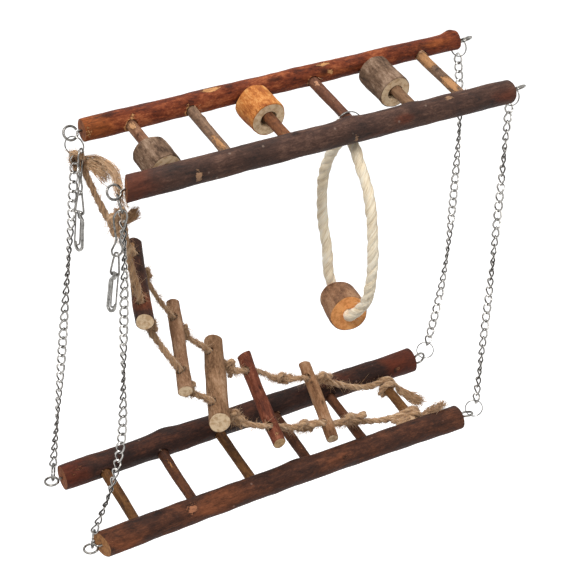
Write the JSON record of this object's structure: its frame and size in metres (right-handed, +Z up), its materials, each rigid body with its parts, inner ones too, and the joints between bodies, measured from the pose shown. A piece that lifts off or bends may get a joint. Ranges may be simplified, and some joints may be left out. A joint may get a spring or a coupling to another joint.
{
  "type": "pet hanging bridge",
  "caption": "Hanging branch ladder toy for small pets: two branch ladders on chains, log rollers, a sisal loop with a bead, a rope bridge of log steps and snap clips.",
  "frame": {"origin": "middle of the upper ladder, where the four upper eyes hold it level along its length", "axes": "+X along the rails, +Y to the rear rail, +Z up; the ladders lean 16.5 degrees down to the front"},
  "size_m": [0.3603, 0.0909, 0.2839],
  "materials": {
    "bark_cinnamon": "satin red-brown bark",
    "bark_grey_brown": "grey-brown bark",
    "bark_dark": "very dark bark",
    "bark_dark_red": "dark red-brown bark",
    "rung_ochre": "peeled ochre twig",
    "rung_brown": "brown twig with bark",
    "log_grey_bark": "grey-brown bark, pale sawn ends",
    "log_peeled": "peeled orange wood",
    "step_grey_tan": "grey-tan bark, pale sawn ends",
    "nickel_wire": "bright nickel plate",
    "sisal_fibre": "twisted sisal",
    "jute_fibre": "twisted jute"
  },
  "bodies": {
    "upper_ladder": {"upper_front_left_eye": "nickel_wire", "upper_front_left_ring": "nickel_wire", "upper_front_rail": "bark_grey_brown", "upper_front_right_eye": "nickel_wire", "upper_front_right_ring": "nickel_wire", "upper_rear_left_eye": "nickel_wire", "upper_rear_left_ring": "nickel_wire", "upper_rear_rail": "bark_cinnamon", "upper_rear_right_eye": "nickel_wire", "upper_rear_right_ring": "nickel_wire", "upper_rung_1": "rung_ochre", "upper_rung_2": "rung_brown", "upper_rung_3": "rung_ochre", "upper_rung_4": "rung_brown", "upper_rung_5": "rung_ochre", "upper_rung_6": "rung_brown", "rope_front": "jute_fibre", "rope_rear": "jute_fibre"},
    "chain_rear_left": {"chain_rear_left": "nickel_wire", "lower_rear_left_ring": "nickel_wire"},
    "chain_rear_right": {"chain_rear_right": "nickel_wire", "lower_rear_right_ring": "nickel_wire"},
    "chain_front_left": {"chain_front_left": "nickel_wire", "lower_front_left_ring": "nickel_wire"},
    "chain_front_right": {"chain_front_right": "nickel_wire", "lower_front_right_ring": "nickel_wire"},
    "lower_ladder": {"lower_front_left_eye": "nickel_wire", "lower_front_rail": "bark_dark_red", "lower_front_right_eye": "nickel_wire", "lower_rear_left_eye": "nickel_wire", "lower_rear_rail": "bark_dark", "lower_rear_right_eye": "nickel_wire", "lower_rung_1": "rung_ochre", "lower_rung_2": "rung_brown", "lower_rung_3": "rung_ochre", "lower_rung_4": "rung_brown", "lower_rung_5": "rung_ochre", "lower_rung_6": "rung_brown"},
    "step_1": {"step_1": "step_grey_tan"},
    "step_2": {"step_2": "step_grey_tan"},
    "step_3": {"step_3": "step_grey_tan"},
    "step_4": {"step_4": "step_grey_tan"},
    "step_5": {"step_5": "step_grey_tan"},
    "roller_left": {"roller_left": "log_grey_bark"},
    "roller_middle": {"roller_middle": "log_peeled"},
    "roller_right": {"roller_right": "log_grey_bark"},
    "sisal_loop": {"loop_ring": "nickel_wire", "sisal_loop": "sisal_fibre"},
    "bead": {"bead": "log_grey_bark"},
    "clip_rear_link": {"clip_rear_link": "nickel_wire"},
    "clip_rear_hook": {"clip_rear_bail": "nickel_wire", "clip_rear_hook": "nickel_wire"},
    "clip_rear_gate": {"clip_rear_gate": "nickel_wire"},
    "clip_front_link": {"clip_front_link": "nickel_wire"},
    "clip_front_hook": {"clip_front_bail": "nickel_wire", "clip_front_hook": "nickel_wire"},
    "clip_front_gate": {"clip_front_gate": "nickel_wire"}
  },
  "joints": [
    {"name": "lower_ladder_swing", "type": "hinge", "parent": "upper_ladder", "child": "chain_rear_left", "pos_m": [-0.1522, 0.02948, -0.00516], "axis": [0, -1, 0], "range_deg": [-3, 5], "deforming": ["rope_rear", "rope_front"]},
    {"name": "chain_rear_right_swing", "type": "hinge", "parent": "upper_ladder", "child": "chain_rear_right", "pos_m": [0.14828, 0.03435, -0.00287], "axis": [0, -1, 0], "range_deg": [-4, 6]},
    {"name": "chain_front_left_swing", "type": "hinge", "parent": "upper_ladder", "child": "chain_front_left", "pos_m": [-0.14923, -0.03336, -0.02366], "axis": [0, -1, 0], "range_deg": [-4, 6]},
    {"name": "chain_front_right_swing", "type": "hinge", "parent": "upper_ladder", "child": "chain_front_right", "pos_m": [0.14719, -0.02893, -0.0214], "axis": [0, -1, 0], "range_deg": [-4, 6]},
    {"name": "lower_ladder_level", "type": "hinge", "parent": "chain_rear_left", "child": "lower_ladder", "pos_m": [-0.19367, 0.03524, -0.23822], "axis": [0, -1, 0], "range_deg": [-6, 4]},
    {"name": "step_1_swing", "type": "hinge", "parent": "upper_ladder", "child": "step_1", "pos_m": [-0.15072, -0.00194, -0.01441], "axis": [0, -1, 0], "range_deg": [-8.29, 13.14]},
    {"name": "step_2_swing", "type": "hinge", "parent": "step_1", "child": "step_2", "pos_m": [-0.128, 0.003, -0.0916], "axis": [0, -1, 0], "range_deg": [-3.6, 2.56]},
    {"name": "step_3_swing", "type": "hinge", "parent": "step_2", "child": "step_3", "pos_m": [-0.1045, 0.002, -0.147], "axis": [0, -1, 0], "range_deg": [-5.86, 3.92]},
    {"name": "step_4_swing", "type": "hinge", "parent": "step_3", "child": "step_4", "pos_m": [-0.0788, 0.0015, -0.1823], "axis": [0, -1, 0], "range_deg": [-7.05, 4.63]},
    {"name": "step_5_swing", "type": "hinge", "parent": "step_4", "child": "step_5", "pos_m": [-0.0453, 0.0005, -0.2075], "axis": [0, -1, 0], "range_deg": [-7.4, 4.84]},
    {"name": "roller_left_turn", "type": "hinge", "parent": "upper_ladder", "child": "roller_left", "pos_m": [-0.1135, -0.01158, -0.00526], "axis": [0, 0.9588, 0.284], "continuous": true},
    {"name": "roller_middle_turn", "type": "hinge", "parent": "upper_ladder", "child": "roller_middle", "pos_m": [-0.0255, 0.01329, 0.00159], "axis": [0, 0.9588, 0.284], "continuous": true},
    {"name": "roller_right_turn", "type": "hinge", "parent": "upper_ladder", "child": "roller_right", "pos_m": [0.0705, 0.01085, 0.00139], "axis": [0, 0.9588, 0.284], "continuous": true},
    {"name": "loop_swing", "type": "hinge", "parent": "upper_ladder", "child": "sisal_loop", "pos_m": [0.0225, -0.01918, -0.00568], "axis": [0, -0.9588, -0.284], "range_deg": [-25, 25]},
    {"name": "bead_turn", "type": "hinge", "parent": "sisal_loop", "child": "bead", "pos_m": [0.0225, -0.00338, -0.15128], "axis": [-0.2246, -0.973, -0.0523], "continuous": true},
    {"name": "clip_rear_link_swing", "type": "hinge", "parent": "upper_ladder", "child": "clip_rear_link", "pos_m": [-0.14906, 0.02634, -0.00336], "axis": [0.7071, -0.7071, 0], "range_deg": [-10, 2]},
    {"name": "clip_rear_hook_swing", "type": "hinge", "parent": "clip_rear_link", "child": "clip_rear_hook", "pos_m": [-0.15474, 0.02268, -0.02968], "axis": [0.6777, 0.7018, -0.2195], "range_deg": [-10, 3]},
    {"name": "clip_rear_gate_open", "type": "hinge", "parent": "clip_rear_hook", "child": "clip_rear_gate", "pos_m": [-0.15741, 0.0225, -0.04217], "axis": [-0.9627, -0.1724, 0.2087], "range_deg": [0, 9], "stiffness_Nm_per_rad": 0.02},
    {"name": "clip_front_link_swing", "type": "hinge", "parent": "upper_ladder", "child": "clip_front_link", "pos_m": [-0.15095, -0.03722, -0.02249], "axis": [-0.3411, -0.9372, -0.0725], "range_deg": [-10, 3]},
    {"name": "clip_front_hook_swing", "type": "hinge", "parent": "clip_front_link", "child": "clip_front_hook", "pos_m": [-0.15801, -0.03691, -0.04923], "axis": [0.9372, -0.3487, 0], "range_deg": [-10, 4]},
    {"name": "clip_front_gate_open", "type": "hinge", "parent": "clip_front_hook", "child": "clip_front_gate", "pos_m": [-0.16038, -0.03826, -0.06143], "axis": [0.9656, 0.1594, -0.2053], "range_deg": [0, 9], "stiffness_Nm_per_rad": 0.02}
  ],
  "couplings": [
    {"joint": "chain_rear_right_swing", "follows": "lower_ladder_swing", "ratio": 1},
    {"joint": "chain_front_left_swing", "follows": "lower_ladder_swing", "ratio": 1},
    {"joint": "chain_front_right_swing", "follows": "lower_ladder_swing", "ratio": 1},
    {"joint": "lower_ladder_level", "follows": "lower_ladder_swing", "ratio": -1},
    {"joint": "step_1_swing", "follows": "lower_ladder_swing", "ratio": 2.429},
    {"joint": "step_2_swing", "follows": "lower_ladder_swing", "ratio": -0.52},
    {"joint": "step_3_swing", "follows": "lower_ladder_swing", "ratio": -0.972},
    {"joint": "step_4_swing", "follows": "lower_ladder_swing", "ratio": -1.211},
    {"joint": "step_5_swing", "follows": "lower_ladder_swing", "ratio": -1.28}
  ]
}
